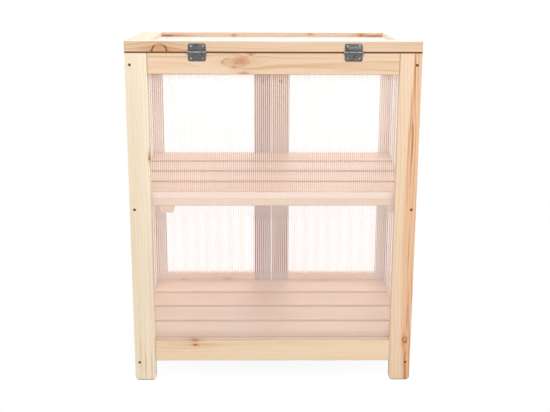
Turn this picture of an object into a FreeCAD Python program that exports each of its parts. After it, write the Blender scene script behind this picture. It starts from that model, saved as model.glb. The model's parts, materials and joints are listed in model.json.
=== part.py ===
import FreeCAD, Part
import os
import re
import Sketcher

# A two-tier wooden mini greenhouse. Millimetres, +Z up, +Y towards the doors,
# the origin on the ground under the middle of the whole object.
# Sizes below are worked out from the outer face of the rear frame, y = 0.

SIZES = {
    # whole cabinet
    "width": 600,
    "carcass_depth": 370,
    "rear_top": 720.5,
    "lid_slope": 5,
    "board": 18,
    "edge_ease": 1.2,
    "foot_height": 46,
    "foot_round": 8,
    # rear frame and side panels
    "post_width": 45,
    "rear_top_rail": 45,
    "rear_bottom_rail": 47,
    "side_stile": 45,
    "side_top_rail": 45,
    "side_bottom_rail": 47,
    "front_top_rail": 45,
    # glazing in its grooves
    "pane_thickness": 4,
    "pane_setback": 10.5,
    "pane_slack": 0.2,
    "groove_depth": 9,
    "pane_end_gap": 1,
    "tenon_length": 8.5,
    "tenon_slack": 0.1,
    # slatted floor and shelf
    "slats": 4,
    "floor_top": 96,
    "shelf_top": 422.5,
    "slat_thickness": 15,
    "slat_gap": 9.6,
    "slat_rear_gap": 4,
    "slat_front_gap": 3,
    "slat_end_gap": 1,
    "cleat_width": 10,
    "cleat_height": 18,
    "shelf_rail_height": 15.5,
    "shelf_rail_depth": 18,
    "shelf_rail_setback": 1,
    "batten_width": 28,
    "batten_height": 30.5,
    "batten_ease": 2.5,
    "left_batten_inset": 44,
    "right_batten_inset": 10.5,
    # lid
    "lid_thickness": 22,
    "lid_rail": 45,
    "lid_gap": 0.5,
    # doors
    "door_thickness": 18,
    "door_stile": 41.5,
    "door_rail": 45,
    "door_sill": 68,
    "door_gap": 1,
    "door_head_gap": 2,
    "door_meeting_gap": 1,
    "door_hinge_inset": 95,
    # butt hinges, their pins and screws
    "lid_hinge_spread": 315,
    "lid_hinge_shift": 3.5,
    "hinge_length": 39,
    "leaf_length": 36,
    "leaf_reach": 18,
    "leaf_thickness": 1.2,
    "leaf_corner": 4,
    "knuckle_radius": 3,
    "knuckle_standoff": 0.3,
    "knuckle_middle": 18,
    "knuckle_gap": 0.4,
    "pin_radius": 1.5,
    "pin_slack": 0.05,
    "pin_overhang": 0.6,
    "hole_spacing": 24,
    "hole_reach": 12.5,
    "hole_slack": 0.2,
    "bore_slack": 0.05,
    "hinge_screw_radius": 1.5,
    "hinge_screw_length": 12,
    "hinge_head_radius": 2.9,
    "hinge_head_height": 1.3,
    "head_flat_share": 0.6,
    "head_rim_share": 0.35,
    # screws through the rear posts
    "post_screw_radius": 2,
    "post_screw_length": 40,
    "post_head_radius": 3.1,
    "post_head_depth": 2,
    "post_screw_inset": 10,
    "post_screw_drop": 25.5,
    "post_screw_rise": 21.5,
    "post_screw_low": 42,
    # knobs and their screws
    "knob_inset": 21.2,
    "knob_drop": 89.5,
    "knob_length": 24,
    "knob_radius": 13,
    "knob_screw_radius": 2,
    "knob_screw_grip": 12,
    "knob_head_radius": 4.2,
    "knob_head_height": 2,
    # magnetic catch under the front top rail
    "catch_width": 48,
    "catch_depth": 13,
    "catch_height": 16,
    "catch_gap": 0.3,
    "catch_peg_radius": 2.5,
    "catch_peg_length": 10,
    "catch_peg_spread": 30,
    "strike_offset": 13,
    "strike_radius": 6,
    "strike_thickness": 1,
    "strike_screw_radius": 1.5,
    "strike_screw_length": 12,
}

# What follows from those sizes, spelt out wherever an expression names it.
DERIVED = {
    "half_width": "width/2",
    "inner_half": "half_width - board",
    "post_inner": "half_width - post_width",
    "front_face": "carcass_depth + door_gap + door_thickness",
    "pin_offset": "knuckle_radius + knuckle_standoff",
    "pin_height": "rear_top + lid_gap/2",
    "rear": "-(front_face + knob_length - pin_offset - knuckle_radius)/2",
    "groove_width": "pane_thickness + 2*pane_slack",
    "groove_shy": "groove_depth - pane_end_gap",
    "slat_length": "2*inner_half - 2*slat_end_gap",
    "slat_start": "board + slat_rear_gap",
    "slat_room": "carcass_depth - slat_front_gap - slat_start",
    "slat_width": "(slat_room - (slats - 1)*slat_gap)/slats",
    "slat_pitch": "slat_width + slat_gap",
    "cleat_length": "carcass_depth - 2*board",
    "cleat_inner": "inner_half - cleat_width",
    "shelf_rail_start": "slat_start + shelf_rail_setback",
    "shelf_under": "shelf_top - slat_thickness",
    "floor_under": "floor_top - slat_thickness",
    "front_rail_under": "rear_top - tan(lid_slope)*carcass_depth - front_top_rail",
    "door_top": "rear_top - tan(lid_slope)*front_face - door_head_gap",
    "door_height": "door_top - door_sill",
    "knob_height": "door_top - knob_drop",
    "post_screw_high": "rear_top - post_screw_drop",
    "post_screw_middle": "(post_screw_low + post_screw_high)/2 + post_screw_rise",
    "door_width": "half_width - door_meeting_gap/2",
    "door_inner_face": "carcass_depth + door_gap",
    "door_pin_y": "carcass_depth + door_gap/2",
    "door_pin_x": "half_width + pin_offset",
    "lid_length": "(front_face + pin_offset)/cos(lid_slope) - pin_offset",
    "lid_rise": "lid_gap + pin_offset*sin(lid_slope) - lid_gap/2*cos(lid_slope)",
    "catch_middle": "front_rail_under - catch_height/2",
    "catch_front": "door_inner_face - strike_thickness - catch_gap",
    "face_inset": "board - pane_setback - pane_thickness",
    "door_face_inset": "door_thickness - pane_setback - pane_thickness",
    "lid_face_inset": "lid_thickness - pane_setback - pane_thickness",
}

X, Y, Z = FreeCAD.Vector(1, 0, 0), FreeCAD.Vector(0, 1, 0), FreeCAD.Vector(0, 0, 1)
UNTURNED = FreeCAD.Rotation()

doc = FreeCAD.newDocument("MiniGreenhouse")
sheet = doc.addObject("Spreadsheet::Sheet", "Sizes")
for row, (alias, value) in enumerate(SIZES.items(), start=1):
    sheet.set("A%d" % row, alias)
    sheet.set("B%d" % row, str(value))
    sheet.setAlias("B%d" % row, alias)
doc.recompute()

subparts = []


def spelt(text):
    """An expression with the sheet's name before each alias and derived sizes written out."""
    def full(match):
        word = match.group(0)
        if word in DERIVED:
            return "(" + spelt(DERIVED[word]) + ")"
        return "Sizes." + word if word in SIZES else word
    return re.sub("[a-z_]+", full, str(text))


def bind(thing, **texts):
    """Bind properties to expressions."""
    for name, text in texts.items():
        thing.setExpression(name, spelt(text))


def put(thing, base, rotation=UNTURNED):
    """Bind a placement's base to three expressions, with a fixed rotation."""
    thing.Placement = FreeCAD.Placement(FreeCAD.Vector(), rotation)
    for axis, text in zip("xyz", base):
        thing.setExpression("Placement.Base." + axis, spelt(text))


def box(low, size):
    """A block from its low corner and its size."""
    block = doc.addObject("Part::Box", "Block")
    bind(block, Length=size[0], Width=size[1], Height=size[2])
    put(block, low)
    return block


def sloped_box(low, size):
    """A block in the lid's slope: its own z = 0 is the slope's plane over the cabinet."""
    x, y, z = low
    block = box(low, size)
    block.Placement.Rotation = FreeCAD.Rotation(X, -1)
    block.setExpression("Placement.Rotation.Angle", spelt("-lid_slope"))
    put_y = "(%s)*cos(lid_slope) + (%s)*sin(lid_slope)" % (y, z)
    put_z = "rear_top - (%s)*sin(lid_slope) + (%s)*cos(lid_slope)" % (y, z)
    block.setExpression("Placement.Base.y", spelt(put_y))
    block.setExpression("Placement.Base.z", spelt(put_z))
    return block


def cylinder(base, radius, length, rotation=UNTURNED):
    rod = doc.addObject("Part::Cylinder", "Rod")
    bind(rod, Radius=radius, Height=length)
    put(rod, base, rotation)
    return rod


def whole(piece):
    """A plain block or rod as a sub-part with a placement of its own."""
    held = doc.addObject("Part::Compound", "Whole")
    held.Links = [piece]
    return held


def fused(*pieces):
    """Several pieces made one solid."""
    joined = doc.addObject("Part::MultiFuse", "Joined")
    joined.Shapes = list(pieces)
    joined.Refine = True
    return joined


def common(one, other):
    both = doc.addObject("Part::Common", "Common")
    both.Base = one
    both.Tool = other
    return both


def cut(piece, *tools):
    """A piece less its tools."""
    for tool in tools:
        less = doc.addObject("Part::Cut", "Cut")
        less.Base = piece
        less.Tool = tool
        piece = less
    return piece


def span(edge, axis):
    bounds = edge.BoundBox
    return {"x": bounds.XLength, "y": bounds.YLength, "z": bounds.ZLength}[axis]


def rounded(piece, radius, wanted):
    """A piece with a fillet of one radius on each edge that wanted says yes to."""
    doc.recompute()
    soft = doc.addObject("Part::Fillet", "Rounded")
    soft.Base = piece
    edges = enumerate(piece.Shape.Edges, start=1)
    soft.Edges = [(number, radius, radius) for number, edge in edges if wanted(edge)]
    return soft


def along(axis):
    """Says yes to an edge that runs along one axis."""
    others = [other for other in "xyz" if other != axis]
    return lambda edge: all(span(edge, other) < 1e-6 for other in others)


def eased(piece, axis, radius="edge_ease"):
    """A board with its four long edges eased."""
    return rounded(piece, SIZES[radius], along(axis))


def footed(piece, through):
    """An upright board that stands on the ground: round foot corners, then eased edges."""
    foot = along(through)
    board = rounded(piece, SIZES["foot_round"], lambda edge: foot(edge) and edge.BoundBox.ZMax < 1)
    doc.recompute()
    top = board.Shape.BoundBox.ZMax

    def on_a_face(edge):
        return span(edge, through) < 1e-6 and edge.BoundBox.ZMin < top - 1
    return rounded(board, SIZES["edge_ease"], on_a_face)


def kept(label, piece, base=("0", "rear", "0"), sloped=False):
    """Name a finished sub-part and set its place in the whole object."""
    piece.Label = label
    if sloped:
        put(piece, base, FreeCAD.Rotation(X, -1))
        piece.setExpression("Placement.Rotation.Angle", spelt("-lid_slope"))
    else:
        put(piece, base)
    subparts.append(piece)
    return piece


def kept_in_lid(label, piece):
    """A sub-part of the lid, whose own origin is on the hinge line."""
    return kept(label, piece, ("0", "rear - pin_offset", "pin_height"), sloped=True)


class Panel:
    """A glazed frame: boards grooved for a pane, rails with stub tenons in the stiles' grooves.

    axes gives the directions across, up and through the frame, such as "xzy".
    face is where the boards start through the frame, and inset is the pane's depth in them.
    """

    def __init__(self, axes, face, thickness, inset):
        self.axes = axes
        self.face = face
        self.thickness = thickness
        self.inset = inset

    def block(self, across, up, through):
        """A block from its three (start, size) pairs across, up and through the frame."""
        spots = dict(zip(self.axes, (across, up, through)))
        return box([spots[axis][0] for axis in "xyz"], [spots[axis][1] for axis in "xyz"])

    def board(self, across, up):
        return self.block(across, up, (self.face, self.thickness))

    def slot(self, across, up, slack="0"):
        """A block in the plane of the pane's grooves, thinner by the slack on each side."""
        start = "%s + %s - pane_slack + %s" % (self.face, self.inset, slack)
        return self.block(across, up, (start, "groove_width - 2*(%s)" % slack))

    def stile(self, start, width, low, height, inward, groove_low=None, foot=False):
        """An upright with a groove along its inner edge; inward is 1 where that is the far one."""
        blank = self.board((start, width), (low, height))
        across, up, through = self.axes
        blank = footed(blank, through) if foot else eased(blank, up)
        groove_low = groove_low or low
        edge = "%s + %s - groove_depth" % (start, width) if inward > 0 else start
        tall = "%s + %s - (%s)" % (low, height, groove_low)
        return cut(blank, self.slot((edge, "groove_depth"), (groove_low, tall)))

    def rail(self, start, length, low, width, inward):
        """A cross board with a groove along its inner edge and a stub tenon at each end."""
        across, up, through = self.axes
        blank = eased(self.board((start, length), (low, width)), across)
        reach = ("%s - tenon_length" % start, "%s + 2*tenon_length" % length)
        tenon_low = low if inward > 0 else "%s + groove_depth" % low
        tenon = self.slot(reach, (tenon_low, "%s - groove_depth" % width), "tenon_slack")
        edge = "%s + %s - groove_depth" % (low, width) if inward > 0 else low
        groove = self.slot((start, length), (edge, "groove_depth"))
        return fused(cut(blank, groove), tenon)

    def pane(self, start, length, low, height):
        """The sheet that fills the opening and reaches into the grooves all round."""
        across = ("%s - groove_shy" % start, "%s + 2*groove_shy" % length)
        up = ("%s - groove_shy" % low, "%s + 2*groove_shy" % height)
        return whole(self.block(across, up, ("%s + %s" % (self.face, self.inset), "pane_thickness")))


def turned_piece(name, profile):
    """A round piece: a closed profile of (radius, height) corners turned about z."""
    body = doc.addObject("PartDesign::Body", name)
    sketch = body.newObject("Sketcher::SketchObject", name + "Profile")
    planes = [plane for plane in body.Origin.OriginFeatures if plane.Role == "XZ_Plane"]
    sketch.AttachmentSupport = [(planes[0], "")]
    sketch.MapMode = "FlatFace"
    count = len(profile)
    corners = [FreeCAD.Vector(1 + number, number * number, 0) for number in range(count)]
    for number, corner in enumerate(corners):
        sketch.addGeometry(Part.LineSegment(corner, corners[(number + 1) % count]))
    for number in range(count):
        sketch.addConstraint(Sketcher.Constraint("Coincident", number, 2, (number + 1) % count, 1))
    for number, corner in enumerate(corners):
        for kind, value, text in zip(("DistanceX", "DistanceY"), (corner.x, corner.y), profile[number]):
            rule = sketch.addConstraint(Sketcher.Constraint(kind, -1, 1, number, 1, value))
            sketch.setExpression("Constraints[%d]" % rule, spelt(text))
    turned = body.newObject("PartDesign::Revolution", name + "Turned")
    turned.Profile = sketch
    turned.ReferenceAxis = (sketch, ["V_Axis"])
    turned.Angle = 360
    return body


def copies(master, spots):
    """One compound of copies of a master piece at (base, rotation) spots."""
    group = doc.addObject("Part::Compound", "Copies")
    links = []
    for base, rotation in spots:
        link = doc.addObject("App::Link", "Copy")
        link.LinkedObject = master
        put(link, base, rotation)
        links.append(link)
    group.Links = links
    return group


# A hinge's own x runs along its pin, its y into the wood and its z from the fixed leaf to the moving one.
HINGE_TURNS = {"rear": ("x", "y", "z"), "left": ("z", "x", "y"), "right": ("-z", "-x", "y")}
UNITS = {"x": X, "y": Y, "z": Z, "-x": -X, "-z": -Z}


def hinge_turn(way):
    return FreeCAD.Rotation(*[UNITS[target] for target in HINGE_TURNS[way]], "XYZ")


def hinge_spot(way, origin, own):
    """Where a point in a hinge's own directions lies in the cabinet's."""
    spots = dict(zip("xyz", origin))
    for target, text in zip(HINGE_TURNS[way], own):
        sign = "-" if target.startswith("-") else "+"
        spots[target[-1]] += " %s (%s)" % (sign, text)
    return [spots[axis] for axis in "xyz"]


def hinge_screw_spots(hinges, side):
    """The screws of each hinge's fixed leaf (side -1) or moving leaf (side 1), heads outwards."""
    head_out = FreeCAD.Rotation(X, 90)
    spots = []
    for way, origin in hinges:
        for hand in (-1, 1):
            own = ("%d*hole_spacing/2" % hand, "pin_offset - leaf_thickness", "%d*hole_reach" % side)
            spots.append((hinge_spot(way, origin, own), hinge_turn(way).multiply(head_out)))
    return spots


def leaf(side):
    """A hinge leaf about its pin: the fixed one (side -1) has the outer knuckles."""
    low = "-leaf_reach" if side < 0 else "0"
    face = "pin_offset - leaf_thickness"
    plate = box(("-leaf_length/2", face, low), ("leaf_length", "leaf_thickness", "leaf_reach"))
    round_corner = along("y")

    def outer(edge):
        return round_corner(edge) and abs(edge.BoundBox.Center.z) > 1
    plate = rounded(plate, SIZES["leaf_corner"], outer)
    lengthways = FreeCAD.Rotation(Y, 90)
    middle = ("-knuckle_middle/2", "knuckle_middle")
    outer_length = "(hinge_length - knuckle_middle)/2 - knuckle_gap"
    ends = [("-hinge_length/2", outer_length), ("knuckle_middle/2 + knuckle_gap", outer_length)]
    room = "knuckle_radius + knuckle_gap"
    notch_low = "-(%s)" % room if side < 0 else "0"
    if side < 0:
        wide = ("-(knuckle_middle/2 + knuckle_gap)", "knuckle_middle + 2*knuckle_gap")
        barrels, notches = ends, [wide]
    else:
        half = "leaf_length/2 - knuckle_middle/2"
        barrels, notches = [middle], [("-leaf_length/2", half), ("knuckle_middle/2", half)]
    tools = [box((start, face, notch_low), (size, "leaf_thickness", room)) for start, size in notches]
    plate = cut(plate, *tools)
    rods = [cylinder((start, "0", "0"), "knuckle_radius", size, lengthways) for start, size in barrels]
    knuckled = fused(plate, *rods)
    bore = cylinder(("-hinge_length", "0", "0"), "pin_radius + pin_slack", "2*hinge_length", lengthways)
    inwards = FreeCAD.Rotation(X, -90)
    holes = [
        cylinder(("%d*hole_spacing/2" % hand, "0", "%d*hole_reach" % side),
                 "hinge_screw_radius + hole_slack", "2*pin_offset", inwards)
        for hand in (-1, 1)
    ]
    return cut(knuckled, bore, *holes)


# A knob's outline from its foot to its crown, in shares of its widest radius and its length.
KNOB_OUTLINE = [(0.7, 0), (0.7, 0.08), (0.5, 0.25), (0.5, 0.4), (0.78, 0.49), (0.93, 0.59), (1, 0.7),
                (0.97, 0.81), (0.86, 0.9), (0.6, 0.97)]

# The slope under the lid, which trims the top of every upright and cross rail.
sky = sloped_box(("-width", "-carcass_depth", "0"), ("2*width", "3*carcass_depth", "carcass_depth"))

# Where each hinge sits: the way it faces and the middle of its pin.
lid_hinge_places = ["%d*lid_hinge_spread/2 + lid_hinge_shift" % hand for hand in (-1, 1)]
lid_hinges = [("rear", (place, "-pin_offset", "pin_height")) for place in lid_hinge_places]
door_heights = ("door_sill + door_hinge_inset", "door_top - door_hinge_inset")
door_hinges = {
    "left": [("left", ("-door_pin_x", "door_pin_y", height)) for height in door_heights],
    "right": [("right", ("door_pin_x", "door_pin_y", height)) for height in door_heights],
}
lid_frame_hinges = [("rear", (place, "0", "0")) for place in lid_hinge_places]
all_hinges = lid_hinges + door_hinges["left"] + door_hinges["right"]

# Fastener masters, and the bores that they leave in the wood.
hinge_screw = turned_piece("HingeScrew", [
    ("0", "hinge_head_height"), ("hinge_head_radius*head_flat_share", "hinge_head_height"),
    ("hinge_head_radius", "hinge_head_height*head_rim_share"), ("hinge_head_radius", "0"),
    ("hinge_screw_radius", "0"), ("hinge_screw_radius", "hinge_screw_radius - hinge_screw_length"),
    ("0", "-hinge_screw_length")])
hinge_bore = turned_piece("HingeBore", [
    ("0", "-leaf_thickness"), ("hinge_screw_radius + bore_slack", "-leaf_thickness"),
    ("hinge_screw_radius + bore_slack", "-hinge_screw_length - bore_slack"),
    ("0", "-hinge_screw_length - bore_slack")])
post_screw = turned_piece("PostScrew", [
    ("0", "0"), ("post_head_radius", "0"), ("post_screw_radius", "-post_head_depth"),
    ("post_screw_radius", "post_screw_radius - post_screw_length"), ("0", "-post_screw_length")])
post_bore = turned_piece("PostBore", [
    ("0", "0"), ("post_head_radius + bore_slack", "0"),
    ("post_screw_radius + bore_slack", "-post_head_depth"),
    ("post_screw_radius + bore_slack", "-post_screw_length - bore_slack"),
    ("0", "-post_screw_length - bore_slack")])
knob_screw = turned_piece("KnobScrew", [
    ("0", "knob_head_height"), ("knob_head_radius*head_flat_share", "knob_head_height"),
    ("knob_head_radius", "knob_head_height*head_rim_share"), ("knob_head_radius", "0"),
    ("knob_screw_radius", "0"), ("knob_screw_radius", "-(door_thickness + knob_screw_grip)"),
    ("0", "-(door_thickness + knob_screw_grip)")])
knob_blank = turned_piece(
    "Knob", [("0", "0")]
    + [("knob_radius*%s" % wide, "knob_length*%s" % high) for wide, high in KNOB_OUTLINE]
    + [("0", "knob_length")])
strike = turned_piece("Strike", [
    ("0", "strike_thickness"), ("strike_radius", "strike_thickness"), ("strike_radius", "0"),
    ("strike_screw_radius", "0"), ("strike_screw_radius", "strike_screw_radius - strike_screw_length"),
    ("0", "-strike_screw_length")])

face_out = FreeCAD.Rotation(X, 90)
post_screw_heights = ("post_screw_low", "post_screw_middle", "post_screw_high")


def post_screw_spots(hand):
    across = "%d*(half_width - post_screw_inset)" % hand
    return [((across, "0", height), face_out) for height in post_screw_heights]


# Rear frame
rear_frame = Panel("xzy", "0", "board", "pane_setback")
rear_opening = ("-post_inner", "2*post_inner")
for side, hand in (("left", -1), ("right", 1)):
    start = "-half_width" if hand < 0 else "post_inner"
    post = rear_frame.stile(start, "post_width", "0", "rear_top", -hand, "foot_height", foot=True)
    post_bores = copies(post_bore, post_screw_spots(hand))
    kept("back_%s_post" % side, cut(post, sky, post_bores))
top_rail = rear_frame.rail(*rear_opening, "rear_top - rear_top_rail", "rear_top_rail", -1)
lid_leaf_bores = copies(hinge_bore, hinge_screw_spots(lid_hinges, -1))
kept("back_top_rail", cut(top_rail, sky, lid_leaf_bores))
kept("back_bottom_rail", rear_frame.rail(*rear_opening, "foot_height", "rear_bottom_rail", 1))
rear_clear = "rear_top - rear_top_rail - foot_height - rear_bottom_rail"
kept("back_pane", rear_frame.pane(*rear_opening, "foot_height + rear_bottom_rail", rear_clear))
kept("back_frame_screws", copies(post_screw, post_screw_spots(-1) + post_screw_spots(1)))

# Side panels, behind the posts; their top rails and panes follow the slope
side_opening = ("board + side_stile", "carcass_depth - board - 2*side_stile")
pane_low = "foot_height + side_bottom_rail"


def sloped_rail(panel, start):
    """A side panel's top rail: a sloped board between upright ends, with tenons and groove."""
    def slab(across, through, low, height):
        piece = sloped_box((through[0], "0", low), (through[1], "2*carcass_depth", height))
        limits = box((through[0], across[0], "0"), (through[1], across[1], "2*rear_top"))
        return common(piece, limits)
    board = slab(side_opening, (start, "board"), "-side_top_rail", "side_top_rail")
    doc.recompute()

    def long_edge(edge):
        return span(edge, "x") < 1e-6 and span(edge, "y") > SIZES["side_stile"]
    board = rounded(board, SIZES["edge_ease"], long_edge)
    groove_start = "%s + %s - pane_slack" % (start, panel.inset)
    groove = sloped_box((groove_start, "0", "-side_top_rail"),
                        ("groove_width", "2*carcass_depth", "groove_depth"))
    reach = ("%s - tenon_length" % side_opening[0], "%s + 2*tenon_length" % side_opening[1])
    through = ("%s + tenon_slack" % groove_start, "groove_width - 2*tenon_slack")
    tenon = slab(reach, through, "groove_depth - side_top_rail", "side_top_rail - groove_depth")
    return fused(cut(board, groove), tenon)


for side, hand in (("left", -1), ("right", 1)):
    start = "-half_width" if hand < 0 else "inner_half"
    panel = Panel("yzx", start, "board", "pane_setback" if hand < 0 else "face_inset")
    rear_stile = panel.stile("board", "side_stile", "0", "rear_top", 1, "foot_height", foot=True)
    rear_bores = copies(post_bore, post_screw_spots(hand))
    kept("%s_rear_stile" % side, cut(rear_stile, sky, rear_bores))
    front_stile = panel.stile("carcass_depth - side_stile", "side_stile", "0", "rear_top", -1,
                              "foot_height", foot=True)
    front_bores = copies(hinge_bore, hinge_screw_spots(door_hinges[side], -1))
    kept("%s_front_stile" % side, cut(front_stile, sky, front_bores))
    kept("%s_top_rail" % side, sloped_rail(panel, start))
    kept("%s_bottom_rail" % side, panel.rail(*side_opening, "foot_height", "side_bottom_rail", 1))
    side_pane = panel.pane(*side_opening, pane_low, "rear_top - %s" % pane_low)
    over_pane = sloped_box(("-width", "-carcass_depth", "groove_shy - side_top_rail"),
                           ("2*width", "3*carcass_depth", "carcass_depth"))
    kept("%s_pane" % side, cut(side_pane, over_pane))

# Cross rails between the side panels at the front
front_start = "carcass_depth - board"
front_rail = eased(box(("-inner_half", front_start, "front_rail_under"),
                       ("2*inner_half", "board", "2*front_top_rail")), "x")
peg_spots = [(("%d*catch_peg_spread/2" % hand, "catch_front - catch_depth/2", "front_rail_under"), UNTURNED)
             for hand in (-1, 1)]
peg_bores = [cylinder(spot[0], "catch_peg_radius + bore_slack", "catch_peg_length + bore_slack")
             for spot in peg_spots]
kept("front_top_rail", cut(front_rail, sky, *peg_bores))
kept("front_bottom_rail", eased(box(("-inner_half", front_start, "foot_height"),
                                    ("2*inner_half", "board", "floor_under - foot_height")), "x"))

# Slatted floor and shelf
for tier, top in (("floor", "floor_top"), ("shelf", "shelf_top")):
    for number in range(SIZES["slats"]):
        low = ("-slat_length/2", "slat_start + %d*slat_pitch" % number, "%s - slat_thickness" % top)
        slat = eased(box(low, ("slat_length", "slat_width", "slat_thickness")), "x")
        kept("%s_slat_%d" % (tier, number + 1), slat)
cleat = eased(box(("0", "0", "0"), ("cleat_width", "cleat_length", "cleat_height")), "y")
cleat_spots = [((across, "board", "%s - cleat_height" % under), UNTURNED)
               for across in ("-inner_half", "cleat_inner")
               for under in ("floor_under", "shelf_under")]
kept("slat_cleats", copies(cleat, cleat_spots))
rail_low = ("-cleat_inner + slat_end_gap/2", "shelf_rail_start", "shelf_under - shelf_rail_height")
shelf_rail = box(rail_low, ("2*cleat_inner - slat_end_gap", "shelf_rail_depth", "shelf_rail_height"))
kept("shelf_rear_rail", eased(shelf_rail, "x"))
batten_blank = eased(box(("0", "0", "0"),
                         ("batten_width", "cleat_length - shelf_rail_setback", "batten_height")),
                     "y", "batten_ease")
notch = box(("-1", "-1", "batten_height - shelf_rail_height"),
            ("batten_width + 2", "shelf_rail_depth + 1", "shelf_rail_height + 1"))
batten = cut(batten_blank, notch)
batten_spots = [
    (("-inner_half + left_batten_inset", "shelf_rail_start", "shelf_under - batten_height"), UNTURNED),
    (("inner_half - right_batten_inset - batten_width", "shelf_rail_start",
      "shelf_under - batten_height"), UNTURNED)]
kept("shelf_battens", copies(batten, batten_spots))

# Magnetic catch for both doors, with two pegs pushed up into the front top rail
catch_low = ("-catch_width/2", "catch_front - catch_depth", "front_rail_under - catch_height")
catch_block = box(catch_low, ("catch_width", "catch_depth", "catch_height"))
catch_pegs = [cylinder(spot[0], "catch_peg_radius", "catch_peg_length") for spot in peg_spots]
kept("door_catch", fused(rounded(catch_block, SIZES["edge_ease"], along("z")), *catch_pegs))

# Lid, in its own directions from the hinge line
lid = Panel("yxz", "lid_rise", "lid_thickness", "lid_face_inset")
lid_across = ("-half_width", "width")
back_rail = lid.stile("pin_offset", "lid_rail", *lid_across, 1)
lid_bores = copies(hinge_bore, hinge_screw_spots(lid_frame_hinges, 1))
kept_in_lid("lid_back_rail", cut(back_rail, lid_bores))
kept_in_lid("lid_front_rail", lid.stile("pin_offset + lid_length - lid_rail", "lid_rail", *lid_across, -1))
lid_opening = ("pin_offset + lid_rail", "lid_length - 2*lid_rail")
kept_in_lid("lid_left_rail", lid.rail(*lid_opening, "-half_width", "lid_rail", 1))
kept_in_lid("lid_right_rail", lid.rail(*lid_opening, "half_width - lid_rail", "lid_rail", -1))
kept_in_lid("lid_pane", lid.pane(*lid_opening, "lid_rail - half_width", "width - 2*lid_rail"))

# Doors
inward_screw = FreeCAD.Rotation(X, 90)
for side, hand in (("left", -1), ("right", 1)):
    door = Panel("xzy", "door_inner_face", "door_thickness", "door_face_inset")
    meeting = "door_meeting_gap/2"
    outer_start = "-half_width" if hand < 0 else "half_width - door_stile"
    inner_start = "-%s - door_stile" % meeting if hand < 0 else meeting
    tall = ("door_sill", "door_height")
    outer = door.stile(outer_start, "door_stile", *tall, -hand)
    kept("%s_door_outer_stile" % side,
         cut(outer, copies(hinge_bore, hinge_screw_spots(door_hinges[side], 1))))
    inner = door.stile(inner_start, "door_stile", *tall, hand)
    knob_x = "%d*(knob_inset + door_meeting_gap/2)" % hand
    strike_spot = ("%d*strike_offset" % hand, "door_inner_face", "catch_middle")
    through = FreeCAD.Rotation(X, -90)
    knob_bore = cylinder((knob_x, "door_inner_face - 1", "knob_height"), "knob_screw_radius + bore_slack",
                         "door_thickness + 2", through)
    strike_bore = cylinder(strike_spot, "strike_screw_radius + bore_slack",
                           "strike_screw_length + bore_slack", through)
    kept("%s_door_inner_stile" % side, cut(inner, knob_bore, strike_bore))
    opening = ("door_stile - half_width" if hand < 0 else "%s + door_stile" % meeting,
               "door_width - 2*door_stile")
    kept("%s_door_top_rail" % side, door.rail(*opening, "door_top - door_rail", "door_rail", -1))
    kept("%s_door_bottom_rail" % side, door.rail(*opening, "door_sill", "door_rail", 1))
    kept("%s_door_pane" % side,
         door.pane(*opening, "door_sill + door_rail", "door_height - 2*door_rail"))
    knob_at = [((knob_x, "front_face", "knob_height"), through)]
    grip_bore = cylinder((knob_x, "front_face - 1", "knob_height"), "knob_screw_radius + bore_slack",
                         "knob_screw_grip + 1 + bore_slack", through)
    kept("%s_door_knob" % side, cut(copies(knob_blank, knob_at), grip_bore))
    kept("%s_door_knob_screw" % side,
         copies(knob_screw, [((knob_x, "door_inner_face", "knob_height"), inward_screw)]))
    kept("%s_door_strike" % side, copies(strike, [(strike_spot, inward_screw)]))

# Hinges: all fixed leaves, all pins, and the moving leaves of each lid or door
fixed_leaf = leaf(-1)
moving_leaf = leaf(1)
pin_start = "-hinge_length/2 - pin_overhang"
pin = whole(cylinder((pin_start, "0", "0"), "pin_radius", "hinge_length + 2*pin_overhang",
                     FreeCAD.Rotation(Y, 90)))


def at_hinges(hinges):
    return [(list(origin), hinge_turn(way)) for way, origin in hinges]


kept("hinge_fixed_leaves", copies(fixed_leaf, at_hinges(all_hinges)))
kept("hinge_pins", copies(pin, at_hinges(all_hinges)))
kept("hinge_fixed_screws", copies(hinge_screw, hinge_screw_spots(all_hinges, -1)))
kept_in_lid("lid_hinge_leaves", copies(moving_leaf, at_hinges(lid_frame_hinges)))
kept_in_lid("lid_hinge_screws", copies(hinge_screw, hinge_screw_spots(lid_frame_hinges, 1)))
for side in ("left", "right"):
    kept("%s_door_hinge_leaves" % side, copies(moving_leaf, at_hinges(door_hinges[side])))
    kept("%s_door_hinge_screws" % side, copies(hinge_screw, hinge_screw_spots(door_hinges[side], 1)))

doc.recompute()
for thing in doc.Objects:
    if "Invalid" in thing.State or "Error" in thing.State:
        raise RuntimeError("%s (%s) did not recompute" % (thing.Name, thing.Label))
for piece in subparts:
    if piece.Shape.isNull() or not piece.Shape.isValid() or not piece.Shape.Solids:
        raise RuntimeError("%s has no valid solid" % piece.Label)

os.makedirs("parts", exist_ok=True)
for piece in subparts:
    piece.Shape.exportStep("parts/%s.step" % piece.Label)
print("%d sub-parts" % len(subparts))
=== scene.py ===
"""The looks of a wooden mini greenhouse, in metres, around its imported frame."""
import json
import math
import random
import bmesh
import bpy
import numpy
from mathutils import Matrix, Vector

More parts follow.
